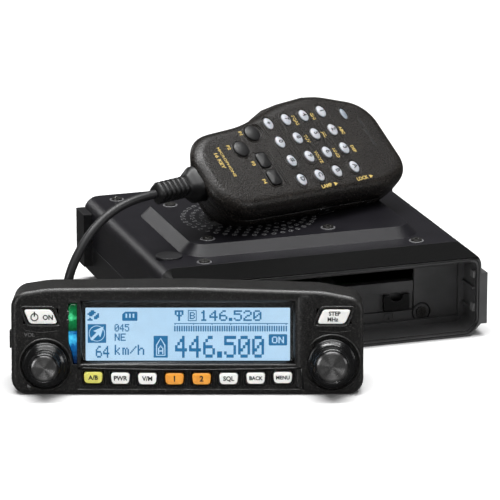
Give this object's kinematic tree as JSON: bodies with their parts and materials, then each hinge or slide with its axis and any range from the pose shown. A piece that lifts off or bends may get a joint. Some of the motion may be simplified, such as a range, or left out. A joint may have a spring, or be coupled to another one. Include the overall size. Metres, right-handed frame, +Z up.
{
  "type": "mobile transceiver",
  "caption": "Mobile radio transceiver: heat-sink body with a speaker lid and an open front dock, a detached control head with a lit screen, and a keypad hand microphone on a cord.",
  "frame": {"origin": "middle of the radio body's underside, on the surface that it stands on", "axes": "+Z up; the radio body's front, with the open dock, faces -Y; +X to the right when facing that front"},
  "size_m": [0.2211, 0.2189, 0.0896],
  "materials": {
    "cover_paint": "fine textured powder coat",
    "cast_black": "black coated die casting",
    "frame_plastic": "moulded, fine grain",
    "head_plastic": "moulded, fine grain",
    "knob_plastic": "black with a spun metal cap",
    "key_white": "satin translucent",
    "key_yellow": "satin translucent",
    "key_orange": "satin translucent",
    "mic_plastic": "leather grain",
    "rubber_black": "matt",
    "cord_jacket": "matt",
    "keypad_pale": "satin",
    "window_clear": "clear hard-coated",
    "display_lit": "back-lit liquid crystal",
    "guide_clear": "lit light guide",
    "board_green": "solder-masked board",
    "speaker_cone": "pressed basket and cone",
    "screw_steel": "blackened",
    "nickel": "nickel plated",
    "plug_clear": "clear polycarbonate"
  },
  "bodies": {
    "radio": {"chassis": "cast_black", "top_cover": "cover_paint", "dock_frame": "frame_plastic", "bay_jacks": "frame_plastic", "speaker": "speaker_cone", "main_board": "board_green", "fan_frame": "frame_plastic", "antenna_socket": "nickel", "rear_jacks": "frame_plastic", "radio_screws": "screw_steel", "cord_lead": "cord_jacket", "cord_coil": "cord_jacket", "mic_plug": "plug_clear"},
    "fan": {"fan_rotor": "frame_plastic"},
    "head": {"head_bezel": "head_plastic", "head_back": "head_plastic", "lcd_window": "window_clear", "display_module": "display_lit", "light_guides": "guide_clear", "head_screws": "screw_steel"},
    "volume_knob": {"volume_knob": "knob_plastic"},
    "dial_knob": {"dial_knob": "knob_plastic"},
    "power_key": {"power_key": "key_white"},
    "band_key": {"band_key": "key_white"},
    "function_key_1": {"function_key_1": "key_yellow"},
    "function_key_2": {"function_key_2": "key_white"},
    "function_key_3": {"function_key_3": "key_white"},
    "function_key_4": {"function_key_4": "key_orange"},
    "function_key_5": {"function_key_5": "key_orange"},
    "function_key_6": {"function_key_6": "key_white"},
    "function_key_7": {"function_key_7": "key_white"},
    "function_key_8": {"function_key_8": "key_white"},
    "microphone": {"mic_front": "mic_plastic", "mic_back": "mic_plastic", "mic_boot": "rubber_black", "mic_board": "board_green", "mic_screws": "screw_steel"},
    "ptt_lever": {"ptt_lever": "mic_plastic"},
    "lamp_switch": {"lamp_switch": "rubber_black"},
    "lock_switch": {"lock_switch": "rubber_black"},
    "p1_key": {"p1_key": "rubber_black"},
    "p2_key": {"p2_key": "rubber_black"},
    "p3_key": {"p3_key": "rubber_black"},
    "p4_key": {"p4_key": "rubber_black"},
    "key_1": {"key_1": "keypad_pale"},
    "key_2": {"key_2": "keypad_pale"},
    "key_3": {"key_3": "keypad_pale"},
    "key_a": {"key_a": "keypad_pale"},
    "key_4": {"key_4": "keypad_pale"},
    "key_5": {"key_5": "keypad_pale"},
    "key_6": {"key_6": "keypad_pale"},
    "key_b": {"key_b": "keypad_pale"},
    "key_7": {"key_7": "keypad_pale"},
    "key_8": {"key_8": "keypad_pale"},
    "key_9": {"key_9": "keypad_pale"},
    "key_c": {"key_c": "keypad_pale"},
    "key_star": {"key_star": "keypad_pale"},
    "key_0": {"key_0": "keypad_pale"},
    "key_hash": {"key_hash": "keypad_pale"},
    "key_d": {"key_d": "keypad_pale"}
  },
  "joints": [
    {"name": "fan_spin", "type": "hinge", "parent": "radio", "child": "fan", "pos_m": [0, 0.065, 0.0188], "axis": [0, 1, 0], "continuous": true},
    {"name": "head_lift", "type": "slide", "parent": "radio", "child": "head", "axis": [0, 0, 1], "range_m": [0, 0.05]},
    {"name": "mic_lift", "type": "slide", "parent": "radio", "child": "microphone", "axis": [0, 0, 1], "range_m": [0, 0.05]},
    {"name": "volume_turn", "type": "hinge", "parent": "head", "child": "volume_knob", "pos_m": [-0.13264, -0.0869, 0.01284], "axis": [0.3072, 0.9387, -0.1564], "range_deg": [0, 300]},
    {"name": "dial_turn", "type": "hinge", "parent": "head", "child": "dial_knob", "pos_m": [-0.0178, -0.12436, 0.01353], "axis": [0.3072, 0.9387, -0.1564], "continuous": true},
    {"name": "power_key_press", "type": "slide", "parent": "head", "child": "power_key", "axis": [0.3072, 0.9387, -0.1564], "range_m": [0, 0.0007], "stiffness_N_per_m": 400},
    {"name": "band_key_press", "type": "slide", "parent": "head", "child": "band_key", "axis": [0.3072, 0.9387, -0.1564], "range_m": [0, 0.0007], "stiffness_N_per_m": 400},
    {"name": "function_key_1_press", "type": "slide", "parent": "head", "child": "function_key_1", "axis": [0.3072, 0.9387, -0.1564], "range_m": [0, 0.0007], "stiffness_N_per_m": 400},
    {"name": "function_key_2_press", "type": "slide", "parent": "head", "child": "function_key_2", "axis": [0.3072, 0.9387, -0.1564], "range_m": [0, 0.0007], "stiffness_N_per_m": 400},
    {"name": "function_key_3_press", "type": "slide", "parent": "head", "child": "function_key_3", "axis": [0.3072, 0.9387, -0.1564], "range_m": [0, 0.0007], "stiffness_N_per_m": 400},
    {"name": "function_key_4_press", "type": "slide", "parent": "head", "child": "function_key_4", "axis": [0.3072, 0.9387, -0.1564], "range_m": [0, 0.0007], "stiffness_N_per_m": 400},
    {"name": "function_key_5_press", "type": "slide", "parent": "head", "child": "function_key_5", "axis": [0.3072, 0.9387, -0.1564], "range_m": [0, 0.0007], "stiffness_N_per_m": 400},
    {"name": "function_key_6_press", "type": "slide", "parent": "head", "child": "function_key_6", "axis": [0.3072, 0.9387, -0.1564], "range_m": [0, 0.0007], "stiffness_N_per_m": 400},
    {"name": "function_key_7_press", "type": "slide", "parent": "head", "child": "function_key_7", "axis": [0.3072, 0.9387, -0.1564], "range_m": [0, 0.0007], "stiffness_N_per_m": 400},
    {"name": "function_key_8_press", "type": "slide", "parent": "head", "child": "function_key_8", "axis": [0.3072, 0.9387, -0.1564], "range_m": [0, 0.0007], "stiffness_N_per_m": 400},
    {"name": "ptt_squeeze", "type": "hinge", "parent": "microphone", "child": "ptt_lever", "pos_m": [-0.00844, 0.01517, 0.08045], "axis": [-0.2722, 0.6113, -0.7431], "range_deg": [0, 3], "stiffness_Nm_per_rad": 0.6},
    {"name": "lamp_switch_slide", "type": "slide", "parent": "microphone", "child": "lamp_switch", "axis": [0.9135, 0.4067, 0], "range_m": [0, 0.003]},
    {"name": "lock_switch_slide", "type": "slide", "parent": "microphone", "child": "lock_switch", "axis": [0.9135, 0.4067, 0], "range_m": [0, 0.003]},
    {"name": "p1_key_press", "type": "slide", "parent": "microphone", "child": "p1_key", "axis": [-0.2722, 0.6113, -0.7431], "range_m": [0, 0.0009], "stiffness_N_per_m": 300},
    {"name": "p2_key_press", "type": "slide", "parent": "microphone", "child": "p2_key", "axis": [-0.2722, 0.6113, -0.7431], "range_m": [0, 0.0009], "stiffness_N_per_m": 300},
    {"name": "p3_key_press", "type": "slide", "parent": "microphone", "child": "p3_key", "axis": [-0.2722, 0.6113, -0.7431], "range_m": [0, 0.0009], "stiffness_N_per_m": 300},
    {"name": "p4_key_press", "type": "slide", "parent": "microphone", "child": "p4_key", "axis": [-0.2722, 0.6113, -0.7431], "range_m": [0, 0.0009], "stiffness_N_per_m": 300},
    {"name": "key_1_press", "type": "slide", "parent": "microphone", "child": "key_1", "axis": [-0.2722, 0.6113, -0.7431], "range_m": [0, 0.0009], "stiffness_N_per_m": 300},
    {"name": "key_2_press", "type": "slide", "parent": "microphone", "child": "key_2", "axis": [-0.2722, 0.6113, -0.7431], "range_m": [0, 0.0009], "stiffness_N_per_m": 300},
    {"name": "key_3_press", "type": "slide", "parent": "microphone", "child": "key_3", "axis": [-0.2722, 0.6113, -0.7431], "range_m": [0, 0.0009], "stiffness_N_per_m": 300},
    {"name": "key_a_press", "type": "slide", "parent": "microphone", "child": "key_a", "axis": [-0.2722, 0.6113, -0.7431], "range_m": [0, 0.0009], "stiffness_N_per_m": 300},
    {"name": "key_4_press", "type": "slide", "parent": "microphone", "child": "key_4", "axis": [-0.2722, 0.6113, -0.7431], "range_m": [0, 0.0009], "stiffness_N_per_m": 300},
    {"name": "key_5_press", "type": "slide", "parent": "microphone", "child": "key_5", "axis": [-0.2722, 0.6113, -0.7431], "range_m": [0, 0.0009], "stiffness_N_per_m": 300},
    {"name": "key_6_press", "type": "slide", "parent": "microphone", "child": "key_6", "axis": [-0.2722, 0.6113, -0.7431], "range_m": [0, 0.0009], "stiffness_N_per_m": 300},
    {"name": "key_b_press", "type": "slide", "parent": "microphone", "child": "key_b", "axis": [-0.2722, 0.6113, -0.7431], "range_m": [0, 0.0009], "stiffness_N_per_m": 300},
    {"name": "key_7_press", "type": "slide", "parent": "microphone", "child": "key_7", "axis": [-0.2722, 0.6113, -0.7431], "range_m": [0, 0.0009], "stiffness_N_per_m": 300},
    {"name": "key_8_press", "type": "slide", "parent": "microphone", "child": "key_8", "axis": [-0.2722, 0.6113, -0.7431], "range_m": [0, 0.0009], "stiffness_N_per_m": 300},
    {"name": "key_9_press", "type": "slide", "parent": "microphone", "child": "key_9", "axis": [-0.2722, 0.6113, -0.7431], "range_m": [0, 0.0009], "stiffness_N_per_m": 300},
    {"name": "key_c_press", "type": "slide", "parent": "microphone", "child": "key_c", "axis": [-0.2722, 0.6113, -0.7431], "range_m": [0, 0.0009], "stiffness_N_per_m": 300},
    {"name": "key_star_press", "type": "slide", "parent": "microphone", "child": "key_star", "axis": [-0.2722, 0.6113, -0.7431], "range_m": [0, 0.0009], "stiffness_N_per_m": 300},
    {"name": "key_0_press", "type": "slide", "parent": "microphone", "child": "key_0", "axis": [-0.2722, 0.6113, -0.7431], "range_m": [0, 0.0009], "stiffness_N_per_m": 300},
    {"name": "key_hash_press", "type": "slide", "parent": "microphone", "child": "key_hash", "axis": [-0.2722, 0.6113, -0.7431], "range_m": [0, 0.0009], "stiffness_N_per_m": 300},
    {"name": "key_d_press", "type": "slide", "parent": "microphone", "child": "key_d", "axis": [-0.2722, 0.6113, -0.7431], "range_m": [0, 0.0009], "stiffness_N_per_m": 300}
  ]
}
